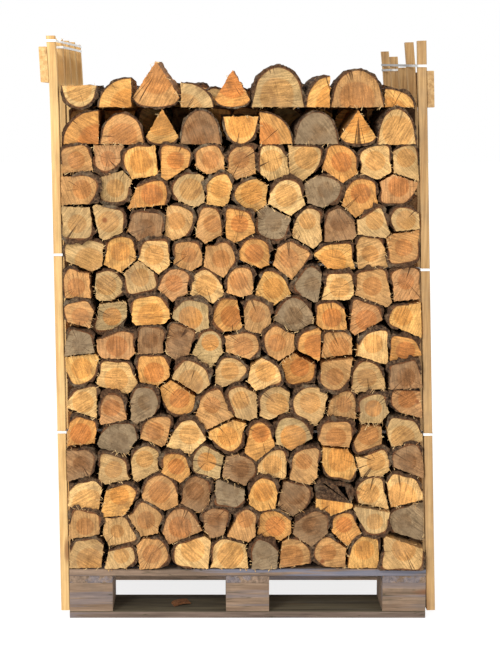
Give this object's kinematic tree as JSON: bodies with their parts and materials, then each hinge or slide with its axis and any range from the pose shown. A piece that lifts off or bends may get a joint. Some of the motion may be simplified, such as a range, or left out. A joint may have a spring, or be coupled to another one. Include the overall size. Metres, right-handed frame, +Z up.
{
  "type": "pallet of split firewood",
  "caption": "Split firewood stacked on a block pallet between upright laths nailed to both short ends, with a rail at each top and flat ties; stores, dries and is moved by fork truck.",
  "frame": {"origin": "on the floor, under the middle of the pallet, at the underside of its middle base board", "axes": "+X along the long side of the pallet, -Y out of the seen face of the stack, +Z up"},
  "size_m": [1.3147, 0.8132, 1.9598],
  "materials": {
    "split_wood": "freshly split and sawn, with saw marks, growth rings, checks and bark",
    "pallet_wood": "weathered grey-brown boards with worn traces of blue-grey paint",
    "lath_wood": "rough sawn softwood",
    "tie": "flat white tie, slightly glossy",
    "bark": "furrowed dark bark"
  },
  "bodies": {
    "root": {"bank_front": "split_wood", "bank_middle": "split_wood", "bank_rear": "split_wood", "bark_chip": "bark", "base_board_front": "pallet_wood", "base_board_middle": "pallet_wood", "base_board_rear": "pallet_wood", "billet_01": "split_wood", "billet_02": "split_wood", "billet_03": "split_wood", "billet_04": "split_wood", "billet_05": "split_wood", "billet_06": "split_wood", "billet_07": "split_wood", "billet_08": "split_wood", "billet_09": "split_wood", "billet_10": "split_wood", "billet_11": "split_wood", "billet_12": "split_wood", "billet_13": "split_wood", "billet_14": "split_wood", "billet_15": "split_wood", "billet_16": "split_wood", "billet_17": "split_wood", "billet_18": "split_wood", "block_front_centre": "pallet_wood", "block_front_left": "pallet_wood", "block_front_right": "pallet_wood", "block_middle_centre": "pallet_wood", "block_middle_left": "pallet_wood", "block_middle_right": "pallet_wood", "block_rear_centre": "pallet_wood", "block_rear_left": "pallet_wood", "block_rear_right": "pallet_wood", "cross_board_centre": "pallet_wood", "cross_board_left": "pallet_wood", "cross_board_right": "pallet_wood", "deck_board_1": "pallet_wood", "deck_board_2": "pallet_wood", "deck_board_3": "pallet_wood", "deck_board_4": "pallet_wood", "deck_board_5": "pallet_wood", "lath_left_1": "lath_wood", "lath_left_2": "lath_wood", "lath_left_3": "lath_wood", "lath_left_4": "lath_wood", "lath_left_5": "lath_wood", "lath_right_1": "lath_wood", "lath_right_2": "lath_wood", "lath_right_3": "lath_wood", "lath_right_4": "lath_wood", "lath_right_5": "lath_wood", "rail_left": "lath_wood", "rail_right": "lath_wood", "tie_cross_high": "tie", "tie_cross_low": "tie", "tie_left_lower": "tie", "tie_left_upper": "tie", "tie_right_lower": "tie", "tie_right_upper": "tie"}
  },
  "joints": []
}
